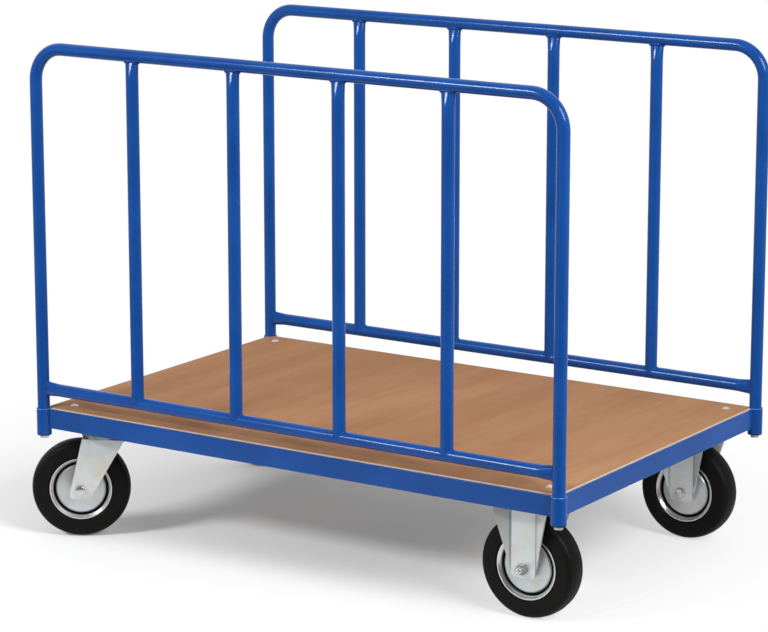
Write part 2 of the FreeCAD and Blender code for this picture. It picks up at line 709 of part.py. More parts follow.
def rim_half():
    """Pressed half of the rim: domed disc, deep groove, bed of the tyre and rolled bead."""
    disc_r = DISC_DIA / 2
    disc_w = TYRE_WIDTH / 2 - DISC_INSET
    bed_r = BED_DIA / 2 - RIM_SHEET
    bead_r = BEAD_DIA / 2
    bead_w = TYRE_WIDTH / 2 - BEAD_INSET
    lip = bead_r - BED_DIA / 2
    path = [(HUB_OD / 2, disc_w + DISC_DOME), (disc_r - DISC_EDGE, disc_w),
            (disc_r, disc_w - DISC_EDGE), (disc_r, RIM_SHEET), (bed_r, RIM_SHEET),
            (bed_r, bead_w - lip), (bead_r - RIM_SHEET, bead_w), (bead_r, bead_w)]
    return spun(sheet_outline(path, -RIM_SHEET)).cut(rod(HUB_OD, -ACROSS * HUB_LENGTH, ACROSS * HUB_LENGTH))


def rim_halves():
    half = rim_half()
    return Part.makeCompound([half, half.mirror(V(0, 0, 0), ACROSS)])


def tyre():
    """Solid rubber tyre: seat on the rim, flat sidewalls, round shoulders and a crowned tread."""
    half = TYRE_WIDTH / 2
    outer = WHEEL_DIA / 2
    bed = BED_DIA / 2 + RIM_SEAT_PLAY
    lip = BEAD_DIA / 2 - BED_DIA / 2
    seat_w = half - BEAD_INSET - lip - RIM_SHEET
    root = V(BEAD_DIA / 2 + 2 * BEAD_INSET, half, 0)
    start = V(SIDEWALL_DIA / 2, half, 0)
    end = V(outer - TYRE_CROWN, half - TYRE_SHOULDER, 0)
    bend = 1 - math.sqrt(0.5)
    middle = V(end.x - bend * (end.x - start.x), half - bend * TYRE_SHOULDER, 0)
    beside_bead = V(BEAD_DIA / 2 + RIM_SEAT_PLAY, half - 2 * BEAD_INSET, 0)
    upper = Part.makePolygon([V(bed, seat_w, 0), beside_bead, root, start]).Edges
    upper.append(Part.Arc(start, middle, end).toShape())
    lower = [e.mirror(V(0, 0, 0), ACROSS) for e in upper]
    tread = Part.Arc(end, V(outer, 0, 0), V(end.x, -end.y, 0)).toShape()
    seat = Part.makePolygon([V(bed, -seat_w, 0), V(bed, seat_w, 0)]).Edges
    outline = Part.Wire(Part.__sortEdges__(upper + [tread] + lower + seat))
    return Part.Face(outline).revolve(V(0, 0, 0), ACROSS, 360)


def placed(shape, caster, axle=False):
    """Move a piece made about a caster's plate, or about its axle, to where the caster stands."""
    sx, sy, turn, trail = caster
    shape = shape.copy()
    if axle:
        shape.translate(V(-trail, 0, AXLE_Z))
    shape.rotate(V(0, 0, 0), UP, turn)
    shape.translate(caster_centre(sx, sy))
    return shape


def make_casters():
    for side, sy in SIDES.items():
        fixed = (1, sy, 0.0, 0.0)
        swivel = (-1, sy, SWIVEL_ANGLE, SWIVEL_TRAIL)
        mounted = (-1, sy, 0.0, SWIVEL_TRAIL)
        save(side + "_fixed_fork", placed(fixed_fork(), fixed))
        save(side + "_swivel_fork", placed(swivel_fork(), swivel))
        for name, make in (("plate", swivel_plate), ("balls", ball_row), ("king_pin", king_pin),
                           ("bearing_washer", bearing_washer), ("dust_ring", dust_ring)):
            save(side + "_swivel_" + name, placed(make(), mounted))
        for name, make in (("axle_bolt", axle_bolt), ("axle_nut", axle_nut), ("axle_sleeve", axle_sleeve)):
            save(side + "_swivel_" + name, placed(make(), swivel, True))
        for end, caster in (("swivel", swivel), ("fixed", fixed)):
            for name, make in (("tyre", tyre), ("rim_halves", rim_halves), ("hub_tube", hub_tube),
                               ("roller_sleeve", roller_sleeve)):
                save(side + "_" + end + "_" + name, placed(make(), caster, True))
    for name, make in (("axle_bolts", axle_bolt), ("axle_nuts", axle_nut), ("axle_sleeves", axle_sleeve)):
        pair = [placed(make(), (1, sy, 0.0, 0.0), True) for sy in SIDES.values()]
        save("fixed_" + name, Part.makeCompound(pair))
    save("caster_bolts", caster_bolts())


os.makedirs("parts", exist_ok=True)
make_rim()
make_sleeves()
make_corner_plates()
make_cross_channel()
make_deck()
make_deck_bolts()
make_bows()
make_casters()
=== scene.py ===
import json
import math

import bmesh
import bpy
from bpy.props import FloatProperty, FloatVectorProperty, IntProperty, PointerProperty
from mathutils import Matrix, Vector

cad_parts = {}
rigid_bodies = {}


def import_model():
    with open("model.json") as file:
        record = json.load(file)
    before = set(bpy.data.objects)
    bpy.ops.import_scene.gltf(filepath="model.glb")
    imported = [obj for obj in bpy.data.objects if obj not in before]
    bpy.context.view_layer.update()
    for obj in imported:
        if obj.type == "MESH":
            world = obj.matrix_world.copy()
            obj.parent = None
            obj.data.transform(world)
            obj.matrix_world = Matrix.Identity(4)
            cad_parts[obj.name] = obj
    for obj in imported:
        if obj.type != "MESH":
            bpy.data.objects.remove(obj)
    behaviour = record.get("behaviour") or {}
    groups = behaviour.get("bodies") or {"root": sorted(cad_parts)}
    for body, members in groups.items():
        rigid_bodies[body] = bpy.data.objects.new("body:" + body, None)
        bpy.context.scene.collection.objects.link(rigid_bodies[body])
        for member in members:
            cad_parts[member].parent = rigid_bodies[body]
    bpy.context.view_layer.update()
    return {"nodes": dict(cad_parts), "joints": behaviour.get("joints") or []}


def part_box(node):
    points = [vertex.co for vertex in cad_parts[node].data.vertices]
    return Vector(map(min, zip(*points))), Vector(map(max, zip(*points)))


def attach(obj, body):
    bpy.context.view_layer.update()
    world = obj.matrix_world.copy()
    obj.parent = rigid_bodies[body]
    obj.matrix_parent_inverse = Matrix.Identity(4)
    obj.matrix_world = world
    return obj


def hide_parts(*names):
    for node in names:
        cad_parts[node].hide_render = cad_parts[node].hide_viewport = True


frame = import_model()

bl_info = {
    "name": "Long material cart",
    "version": (1, 0, 0),
    "blender": (4, 5, 0),
    "location": "3D View > Sidebar > Cart",
    "description": "Dresses the cart: powder coat, laminated deck, zinc-plated casters, rubber tyres",
    "category": "Object",
}

JOINTS = {joint["name"]: joint for joint in frame["joints"]}
SIDES = ("near", "far")
WHEELS = [side + "_" + end for side in SIDES for end in ("swivel", "fixed")]
TURNED_BOLTS = ("near_swivel", "far_fixed")
RIM_RAILS = ["near_side_rail", "far_side_rail", "swivel_end_rail", "fixed_end_rail"]
BOW_NODES = [side + "_bow_" + name for side in SIDES for name in ("hoop", "lower_rail", "bars")]
STEEL_NODES = RIM_RAILS + BOW_NODES + ["corner_sleeves", "corner_plates", "cross_channel"]
IMAGE_WIDTH = 768
FOCAL_PIXELS = 3055.5
UP = Vector((0, 0, 1))
ALONG = Vector((1, 0, 0))
FULL_TURN = 2 * math.pi


def from_screen(red, green, blue):
    """Linear colour of a screen colour given in 0 to 255."""
    return tuple(((v / 255 + 0.055) / 1.055) ** 2.4 if v > 10 else v / 255 / 12.92
                 for v in (red, green, blue))


class PaintSettings(bpy.types.PropertyGroup):
    """Powder coat of the steel frame and bows."""
    colour: FloatVectorProperty(name="Colour", description="Colour of the powder coat",
                                subtype="COLOR", default=from_screen(18, 74, 149))
    shade: FloatVectorProperty(name="Thin places", description="Colour where the coat lies thinner",
                               subtype="COLOR", default=from_screen(14, 67, 138))
    roughness: FloatProperty(name="Roughness", description="Roughness of the coat",
                             default=0.13, min=0, max=1)
    gloss: FloatProperty(name="Gloss", description="Specular level of the coat",
                         default=0.24, min=0, max=1)
    peel: FloatProperty(name="Orange peel", description="Depth of the coat's waviness",
                        default=0.05, min=0, max=1)
    bead: FloatProperty(name="Weld bead", description="Radius of the weld beads",
                        default=0.0015, unit="LENGTH")
    heavy_bead: FloatProperty(name="Heavy bead",
                              description="Radius of the weld beads at the tops of the bars",
                              default=0.0028, unit="LENGTH")
    lip: FloatProperty(name="Sleeve lip", description="Radius of the rounded lip of each sleeve",
                       default=0.001, unit="LENGTH")
    ripple: FloatProperty(name="Weld ripple", description="How much the beads swell and shrink",
                          default=0.3, min=0)
    ripples: IntProperty(name="Weld ripples", description="Ripples round one joint",
                         default=17, min=1)
    fill: FloatProperty(name="Weld fill",
                        description="How high the weld fills the notch at a bar's round foot",
                        default=0.0045, unit="LENGTH")
    dent: FloatProperty(name="Press dent",
                        description="How deep the press has pinched the top of each bar",
                        default=0.0065, unit="LENGTH")
    dent_length: FloatProperty(name="Dent length",
                               description="How far the pinch reaches down a bar",
                               default=0.05, unit="LENGTH")
    bars: IntProperty(name="Bars", description="Upright bars in each bow", default=4, min=1)
    pressed: FloatVectorProperty(name="Pressed end",
                                 description="Half width and half thickness of a pressed tube end "
                                 "where it meets its neighbour",
                                 size=2, default=(0.0149, 0.0084), subtype="XYZ_LENGTH")


class DeckSettings(bpy.types.PropertyGroup):
    """Laminated board."""
    light: FloatVectorProperty(name="Light wood", description="Colour between the flecks",
                               subtype="COLOR", default=from_screen(179, 134, 98))
    dark: FloatVectorProperty(name="Dark wood", description="Colour of the bands",
                              subtype="COLOR", default=from_screen(162, 117, 84))
    fleck: FloatVectorProperty(name="Flecks", description="Colour of the short grain flecks",
                               subtype="COLOR", default=from_screen(136, 94, 69))
    core: FloatVectorProperty(name="Core", description="Colour of the cut edge",
                              subtype="COLOR", default=from_screen(200, 189, 172))
    backing: FloatVectorProperty(name="Backing", description="Colour of the underside",
                                 subtype="COLOR", default=from_screen(146, 139, 130))
    fleck_length: FloatProperty(name="Fleck length", description="Length of a grain fleck",
                                default=0.03, unit="LENGTH")
    skin: FloatProperty(name="Skin", description="Thickness of the laminate on top and below",
                        default=0.0004, unit="LENGTH")
    roughness: FloatProperty(name="Roughness", description="Roughness of the laminate",
                             default=0.55, min=0, max=1)
    gloss: FloatProperty(name="Gloss", description="Specular level of the laminate",
                         default=0.015, min=0, max=1)


class ZincSettings(bpy.types.PropertyGroup):
    """Plated steel of casters and fasteners."""
    pale: FloatVectorProperty(name="Pale zinc", description="Main tone of the plating",
                              subtype="COLOR", default=from_screen(208, 215, 217))
    warm: FloatVectorProperty(name="Warm zinc", description="Tone of the passivated patches",
                              subtype="COLOR", default=from_screen(209, 200, 186))
    # Tone of bearing steel; it is also the dark side of the rims' painted sheen, and the main tone of
    # the dull zinc, which is partly painted shade
    dark: FloatVectorProperty(name="Bearing steel", description="Tone of races, pins and balls",
                              subtype="COLOR", default=from_screen(150, 150, 152))
    # Grime tone of the patches on dull zinc and black oxide; the same tone is painted shade deep in
    # the rims' grooves and along the fixed forks' bends
    grime_and_painted_shade: FloatVectorProperty(name="Grime", description="Tone deep in grooves and gaps",
                               subtype="COLOR", default=from_screen(28, 52, 62))
    # Black oxide tone of the leg washers; part of its darkness is painted shade, for the shade under
    # each sleeve
    oxide_and_painted_shade: FloatVectorProperty(name="Black oxide", description="Tone of the leg washers",
                               subtype="COLOR", default=from_screen(38, 40, 44))
    steel: FloatVectorProperty(name="Fasteners", description="Tone of bolts and nuts",
                               subtype="COLOR", default=from_screen(214, 213, 209))
    roughness: FloatProperty(name="Roughness", description="Roughness of the plating",
                             default=0.3, min=0, max=1)
    crease: FloatProperty(name="Crease",
                          description="From the middle of a fixed fork's leg to its bends",
                          default=0.0275, unit="LENGTH")
    metal: FloatProperty(name="Metal", description="How metallic the passivated plating looks",
                         default=0.45, min=0, max=1)
    bolt_metal: FloatProperty(name="Bolt metal", description="How metallic the bolts look",
                              default=0.9, min=0, max=1)
    rim_metal: FloatProperty(name="Rim metal", description="How metallic the turned rims look",
                             default=0.68, min=0, max=1)
    groove: FloatVectorProperty(name="Rim groove",
                                description="Inner and outer radius of the groove round the wheel "
                                "disc", size=2, default=(0.0508, 0.0572), subtype="XYZ_LENGTH")
    # From this radius on, and this far from the wheel's middle, the rim's wall is free of the
    # groove's painted shade
    wall: FloatVectorProperty(name="Rim wall",
                              description="Radius of the wall beyond the groove, and how far from "
                              "the wheel's middle it gets clean",
                              size=2, default=(0.0558, 0.011), subtype="XYZ_LENGTH")
    thread: FloatProperty(name="Thread pitch", description="Pitch of the visible threads",
                          default=0.00175, unit="LENGTH")
    bolt: FloatProperty(name="Axle bolt", description="Radius of the axle bolts",
                        default=0.006, unit="LENGTH")
    bolt_reach: FloatProperty(name="Long bolt",
                              description="How much further the near fixed wheel's bolt reaches",
                              default=0.005, unit="LENGTH")
    crest: FloatProperty(name="Thread crest", description="How far the thread stands out",
                         default=0.0003, unit="LENGTH")


class RubberSettings(bpy.types.PropertyGroup):
    """Solid rubber tyres and the rollers' sleeve."""
    colour: FloatVectorProperty(name="Rubber", description="Colour of the rubber",
                                subtype="COLOR", default=from_screen(9, 9, 8))
    bloom: FloatVectorProperty(name="Bloom", description="Greyer tone of the rubber's surface",
                               subtype="COLOR", default=from_screen(16, 16, 15))
    nylon: FloatVectorProperty(name="Nylon", description="Colour of the roller sleeve",
                               subtype="COLOR", default=from_screen(120, 120, 118))
    roughness: FloatProperty(name="Roughness", description="Roughness of the rubber",
                             default=0.5, min=0, max=1)
    gloss: FloatProperty(name="Gloss", description="Specular level of the rubber",
                         default=0.13, min=0, max=1)
    parting: FloatProperty(name="Parting line",
                           description="Half width of the mould lines round the shoulders",
                           default=0.0012, unit="LENGTH")
    shoulder: FloatProperty(name="Shoulder",
                            description="From the middle of the tread to the mould lines",
                            default=0.0145, unit="LENGTH")


class StageSettings(bpy.types.PropertyGroup):
    """Floor, light and camera."""
    floor: FloatVectorProperty(name="Floor", description="Colour of the floor",
                               subtype="COLOR", default=(0.95, 0.95, 0.95))
    fade_start: FloatProperty(name="Fade start",
                              description="Where the floor starts to fade into the background",
                              default=0.35, unit="LENGTH")
    fade_end: FloatProperty(name="Fade end", description="Where the floor has gone",
                            default=1.25, unit="LENGTH")
    mirror_start: FloatProperty(name="Mirror start",
                                description="Where the floor starts to fade in reflections",
                                default=1.0, unit="LENGTH")
    mirror_end: FloatProperty(name="Mirror end",
                              description="Where the floor has gone in reflections",
                              default=1.5, unit="LENGTH")
    floor_alpha: FloatProperty(name="Floor strength",
                               description="How strongly the floor and its shadow show",
                               default=0.94, min=0, max=1)
    fade_centre: FloatVectorProperty(name="Fade centre",
                                     description="Middle of the floor that shows",
                                     subtype="TRANSLATION", default=(-0.3, 0.05, 0.0))
    world: FloatProperty(name="World", description="Light from the room in front",
                         default=0.24, min=0)
    rear: FloatProperty(name="Rear", description="Light from the room behind",
                        default=0.42, min=0)
    fill: FloatProperty(name="Fill", description="Low light from the screens at left and right",
                        default=0.2, min=0)
    end: FloatProperty(name="End",
                       description="Low light from the lit backdrop at the fixed end",
                       default=0.9, min=0)
    back: FloatProperty(name="Back", description="Low light from the backdrop behind",
                        default=1.2, min=0)
    room: FloatProperty(name="Room",
                        description="How bright the room in front shows in reflections",
                        default=0.08, min=0)
    screen: FloatProperty(name="Screen",
                          description="How bright the screen at the left shows in reflections",
                          default=0.6, min=0)
    backdrop: FloatProperty(name="Backdrop",
                            description="How bright the lit backdrop shows in reflections",
                            default=0.46, min=0)
    background: FloatProperty(name="Background",
                              description="How bright the white background behind shows in "
                              "reflections", default=1.0, min=0)
    front: FloatProperty(name="Front light",
                         description="Power of the long lamp that draws lines on the tubes",
                         default=180, min=0, subtype="POWER")
    side: FloatProperty(name="Side light", description="Power of the lamp at the fixed end",
                        default=190, min=0, subtype="POWER")
    overhead: FloatProperty(name="Overhead light",
                            description="Power of the large overhead lamp",
                            default=10, min=0, subtype="POWER")
    azimuth: FloatProperty(name="Azimuth", description="Camera's turn round the cart",
                           subtype="ANGLE", default=math.radians(33.287))
    elevation: FloatProperty(name="Elevation", description="Camera's height angle",
                             subtype="ANGLE", default=math.radians(12.394))
    distance: FloatProperty(name="Distance", description="From camera to target",
                            default=6.1512, unit="LENGTH")
    target: FloatVectorProperty(name="Target", description="Point that the camera looks at",
                                subtype="TRANSLATION", default=(-0.03793, 0.0, 0.45118))
    focal: FloatProperty(name="Focal length", description="In image widths",
                         default=FOCAL_PIXELS / IMAGE_WIDTH, min=0.1)


class CartSettings(bpy.types.PropertyGroup):
    """All settings of the cart's looks."""
    paint: PointerProperty(type=PaintSettings)
    deck: PointerProperty(type=DeckSettings)
    zinc: PointerProperty(type=ZincSettings)
    rubber: PointerProperty(type=RubberSettings)
    stage: PointerProperty(type=StageSettings)


class Shade:
    """A socket of a material's node tree that takes part in Python expressions."""
    # Sockets of the Mix node for colours, several of which share a name
    MIX_FACTOR, MIX_FIRST, MIX_SECOND, MIX_COLOUR = 0, 6, 7, 2

    def __init__(self, tree, socket=None):
        self.tree = tree
        self.socket = socket

    def node(self, kind, settings=None, inputs=None, output=0):
        """Add a node: its settings first, then the values or links of its sockets."""
        made = self.tree.nodes.new(kind)
        for name, value in (settings or {}).items():
            setattr(made, name, value)
        for name, value in (inputs or {}).items():
            if isinstance(value, Shade):
                self.tree.links.new(value.socket, made.inputs[name])
            elif made.inputs[name].type == "RGBA":
                made.inputs[name].default_value = tuple(value[:3]) + (1.0,)
            else:
                made.inputs[name].default_value = value
        return Shade(self.tree, made.outputs[output] if made.outputs else None)

    def maths(self, operation, *values):
        """Any operation on numbers."""
        return self.node("ShaderNodeMath", {"operation": operation}, dict(enumerate(values)))

    def __add__(self, other):
        return self.maths("ADD", self, other)

    def __radd__(self, other):
        return self.maths("ADD", other, self)

    def __sub__(self, other):
        return self.maths("SUBTRACT", self, other)

    def __rsub__(self, other):
        return self.maths("SUBTRACT", other, self)

    def __mul__(self, other):
        return self.maths("MULTIPLY", self, other)

    def __rmul__(self, other):
        return self.maths("MULTIPLY", other, self)

    def __gt__(self, other):
        return self.maths("GREATER_THAN", self, other)

    def __lt__(self, other):
        return self.maths("LESS_THAN", self, other)

    def __abs__(self):
        return self.maths("ABSOLUTE", self)

    def between(self, low, high):
        """0 below the low value, 1 above the high one, smooth in between."""
        return self.node("ShaderNodeMapRange", {"interpolation_type": "SMOOTHSTEP"},
                         {"Value": self, "From Min": low, "From Max": high})

    def blend(self, first, second, share=None):
        """First colour where this value is 0, and second, or a share of it, where it is 1."""
        factor = self if share is None else self * share
        sockets = {self.MIX_FACTOR: factor, self.MIX_FIRST: first, self.MIX_SECOND: second}
        return self.node("ShaderNodeMix", {"data_type": "RGBA"}, sockets, self.MIX_COLOUR)

    def noise(self, scale=1.0, detail=2.0, roughness=0.5):
        """Noise over these places, with its lumps per metre."""
        return self.node("ShaderNodeTexNoise", {"noise_dimensions": "3D"},
                         {"Vector": self, "Scale": scale, "Detail": detail, "Roughness": roughness})

    def stretched(self, x, y, z):
        """These places, scaled differently each way."""
        return self.node("ShaderNodeMapping", {"vector_type": "POINT"},
                         {"Vector": self, "Scale": (x, y, z)})

    def vector(self, operation, other, output="Value"):
        """An operation on this vector and another."""
        return self.node("ShaderNodeVectorMath", {"operation": operation}, {0: self, 1: other},
                         output)

    def towards(self, direction):
        """How far this vector reaches in a direction."""
        return self.vector("DOT_PRODUCT", direction)

    def part(self, name):
        """One number of a vector, by its letter."""
        return self.node("ShaderNodeSeparateXYZ", None, {0: self}, name)

    def places(self):
        """Object coordinates, in metres."""
        return self.node("ShaderNodeTexCoord", output="Object")

    def bump(self, strength, distance, normal=None):
        """A normal with this height pressed into it."""
        inputs = {"Strength": strength, "Distance": distance, "Height": self}
        if normal:
            inputs["Normal"] = normal
        return self.node("ShaderNodeBump", None, inputs)


def new_material(name):
    """An empty material and the expression root of its tree."""
    material = bpy.data.materials.new(name)
    material.use_nodes = True
    material.node_tree.nodes.clear()
    return material, Shade(material.node_tree)


def close_material(root, **sockets):
    """Put a Principled shader on the material's output, with the given sockets."""
    names = {"colour": "Base Color", "roughness": "Roughness", "metallic": "Metallic",
             "normal": "Normal", "specular": "Specular IOR Level", "alpha": "Alpha"}
    shader = root.node("ShaderNodeBsdfPrincipled", None,
                       {names[key]: value for key, value in sockets.items()})
    root.node("ShaderNodeOutputMaterial", None, {"Surface": shader})


def wheel_arm(root, wheel):
    """The way from a wheel's middle to a place on it, and the direction of its axle."""
    joint = JOINTS[wheel + "_wheel_spin"]
    return root.places().vector("SUBTRACT", joint["pos_m"], "Vector"), Vector(joint["axis"])


def ending(*names):
    """CAD nodes whose names end in one of these."""
    return [name for name in frame["nodes"] if name.endswith(names)]


def dress(material, nodes):
    """Give CAD nodes one material."""
    for name in nodes:
        mesh = frame["nodes"][name].data
        mesh.materials.clear()
        mesh.materials.append(material)


def spin_ring(reach, radius, sides, steps):
    """A round rod bent to a ring about Z."""
    ring = bmesh.new()
    seat = Matrix.Translation((reach, 0, 0)) @ Matrix.Rotation(math.pi / 2, 4, "X")
    bmesh.ops.create_circle(ring, segments=sides, radius=radius, matrix=seat)
    bmesh.ops.spin(ring, geom=ring.verts[:] + ring.edges[:], axis=UP, angle=FULL_TURN,
                   steps=steps, use_merge=True)
    return ring


def join_shape(shape, other):
    """Move one bmesh into another."""
    mesh = bpy.data.meshes.new("joined")
    other.to_mesh(mesh)
    other.free()
    shape.from_mesh(mesh)
    bpy.data.meshes.remove(mesh)


def keep_piece(name, shape, material, body, sharp=None):
    """Turn a bmesh into a piece that rides a body and takes a material slot's finish."""
    bmesh.ops.recalc_face_normals(shape, faces=shape.faces)
    mesh = bpy.data.meshes.new(name)
    shape.to_mesh(mesh)
    shape.free()
    for polygon in mesh.polygons:
        polygon.use_smooth = True
    if sharp:
        mesh.set_sharp_from_angle(angle=sharp)
    mesh.materials.append(material)
    piece = bpy.data.objects.new(name, mesh)
    bpy.context.scene.collection.objects.link(piece)
    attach(piece, body)
    return piece


class CART_OT_paint_steel(bpy.types.Operator):
    """Coat the rim, the sleeves and the bows."""
    bl_idname = "cart.paint_steel"
    bl_label = "Paint steel"

    def execute(self, context):
        paint = context.scene.cart.paint
        bar_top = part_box("near_bow_bars")[1][2]
        self.coat("blue_powder_coat", paint, STEEL_NODES)
        self.coat("blue_powder_coat_bars", paint, ending("bow_bars"), pinched_top=bar_top)
        self.coat("blue_powder_coat_welds", paint, [], dullness=0.14)
        return {"FINISHED"}

    def coat(self, name, paint, nodes, pinched_top=None, dullness=0.0):
        """Powder coat, with the press's pinch below the top of the bars where that is given."""
        material, root = new_material(name)
        places = root.places()
        drift = places.noise(scale=9.0, detail=3.0).between(0.3, 0.7)
        peel = places.noise(scale=900.0, detail=1.0)
        dust = places.noise(scale=140.0, detail=4.0, roughness=0.6)
        normal = peel.bump(strength=paint.peel, distance=0.0006)
        if pinched_top:
            above_start = places.part("Z") - (pinched_top - paint.dent_length)
            depth = root.maths("MAXIMUM", above_start * (1 / paint.dent_length), 0.0)
            normal = (depth * depth * -paint.dent).bump(strength=1.0, distance=1.0, normal=normal)
        close_material(root, colour=drift.blend(paint.shade, paint.colour),
                       roughness=paint.roughness + dullness + 0.08 * dust,
                       specular=paint.gloss, normal=normal)
        dress(material, nodes)


class CART_OT_lay_deck(bpy.types.Operator):
    """Finish the board: flecked laminate on top, bare core on the cut edge."""
    bl_idname = "cart.lay_deck"
    bl_label = "Lay deck"
    # How many times longer than wide a grain fleck is
    slender = 9

    def execute(self, context):
        deck = context.scene.cart.deck
        bottom, top = (corner[2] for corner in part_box("deck_board"))
        per_metre = 1 / deck.fleck_length
        material, root = new_material("beech_laminate")
        places = root.places()
        bands = places.stretched(9.0, 1.3, 1.0).noise(detail=4.0, roughness=0.55)
        bands = bands.between(0.3, 0.72)
        streaks = places.stretched(34.0, 3.2, 1.0).noise(detail=3.0).between(0.42, 0.8)
        fibre = places.stretched(420.0, 16.0, 1.0).noise(detail=3.0)
        flecks = places.stretched(per_metre * self.slender, per_metre, 1.0).noise()
        flecks = flecks.between(0.52, 0.78)
        wood = bands.blend(deck.light, deck.dark, share=0.85)
        wood = streaks.blend(wood, deck.dark, share=0.5)
        wood = flecks.blend(wood, deck.fleck, share=0.22)
        wood = fibre.between(0.3, 0.8).blend(wood, deck.fleck, share=0.14)
        chips = places.noise(scale=320.0, detail=3.0).between(0.4, 0.7)
        core = chips.blend(deck.core, deck.light, share=0.55)
        height = places.part("Z")
        on_top = height > top - deck.skin
        under = height < bottom + deck.skin
        edge = under.blend(core, deck.backing)
        close_material(root, colour=on_top.blend(edge, wood), specular=deck.gloss,
                       roughness=deck.roughness + 0.12 * bands + (1 - on_top) * 0.2,
                       normal=fibre.bump(strength=0.05, distance=0.0005))
        dress(material, ["deck_board"])
        return {"FINISHED"}


class CART_OT_weld_bows(bpy.types.Operator):
    """Run a weld bead round both ends of every bar and lower rail."""
    bl_idname = "cart.weld_bows"
    bl_label = "Weld bows"
    # Sides of a bead and steps along one of its ripples
    sides = 8
    steps = 6
    # A slower swell: its share of a ripple, its waves round a joint and its shift per metre
    slow_share, slow_waves, slow_shift = 0.6, 5, 40

    def execute(self, context):
        paint = context.scene.cart.paint
        for side in SIDES:
            low, high = (Vector(corner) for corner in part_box(side + "_bow_hoop"))
            tube = (high.y - low.y) / 2
            y = (low.y + high.y) / 2
            leg_x = high.x - tube
            rail_z = sum(corner[2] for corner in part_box(side + "_bow_lower_rail")) / 2
            joints = []
            for i in range(paint.bars):
                x = 2 * leg_x * (i + 1) / (paint.bars + 1) - leg_x
                top = (x, y, high.z - tube)
                joints.append((top, ALONG, -UP, paint.pressed, paint.heavy_bead))
                joints.append(((x, y, rail_z), ALONG, UP, (tube, tube), paint.bead))
            for end in (-1, 1):
                place = (end * leg_x, y, rail_z)
                joints.append((place, UP, -end * ALONG, paint.pressed, paint.bead))
            shape = bmesh.new()
            for joint in joints:
                join_shape(shape, self.run_bead(paint, tube, *joint))
            keep_piece(side + "_bow_welds", shape, bpy.data.materials["blue_powder_coat_welds"],
                       "chassis")
        return {"FINISHED"}

    def run_bead(self, paint, tube, place, along, out, halves, bead):
        """One ring, laid into the saddle between a tube's side and the end of another tube."""
        wide, thin = halves
        ring = spin_ring(wide, bead, self.sides, self.steps * paint.ripples)
        for vert in ring.verts:
            turn = math.atan2(vert.co.y, vert.co.x)
            slow = math.sin(self.slow_waves * turn + place[0] * self.slow_shift)
            ripple = math.sin(paint.ripples * turn) + self.slow_share * slow
            swell = 1 + paint.ripple * ripple * paint.bead / bead
            aside = (vert.co.xy.length - wide) * swell
            across = thin * math.sin(turn)
            saddle = max(math.sqrt(max(tube ** 2 - across ** 2, 0)), paint.fill)
            outward = Vector((math.cos(turn) * thin, math.sin(turn) * wide)).normalized() * aside
            vert.co = (wide * math.cos(turn) + outward.x, across + outward.y,
                       saddle + vert.co.z * swell)
        turned = Matrix((along, out.cross(along), out)).transposed().to_4x4()
        bmesh.ops.transform(ring, matrix=Matrix.Translation(place) @ turned, verts=ring.verts)
        return ring


class CART_OT_round_sleeves(bpy.types.Operator):
    """Round the upper edge of each corner sleeve with a thin lip of paint."""
    bl_idname = "cart.round_sleeves"
    bl_label = "Round sleeves"
    # Sides of a lip and steps round it
    sides = 10
    steps = 48

    def execute(self, context):
        lip = context.scene.cart.paint.lip
        outside = Vector(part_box("corner_sleeves")[1])
        shape = bmesh.new()
        for side in SIDES:
            low, high = (Vector(corner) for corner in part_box(side + "_bow_hoop"))
            tube = (high.y - low.y) / 2
            y = (low.y + high.y) / 2
            reach = outside.x - (high.x - tube) - lip
            for x in (low.x + tube, high.x - tube):
                ring = spin_ring(reach, lip, self.sides, self.steps)
                bmesh.ops.translate(ring, vec=(x, y, outside.z - lip / 3), verts=ring.verts)
                join_shape(shape, ring)
        keep_piece("corner_sleeve_lips", shape, bpy.data.materials["blue_powder_coat"], "chassis")
        return {"FINISHED"}


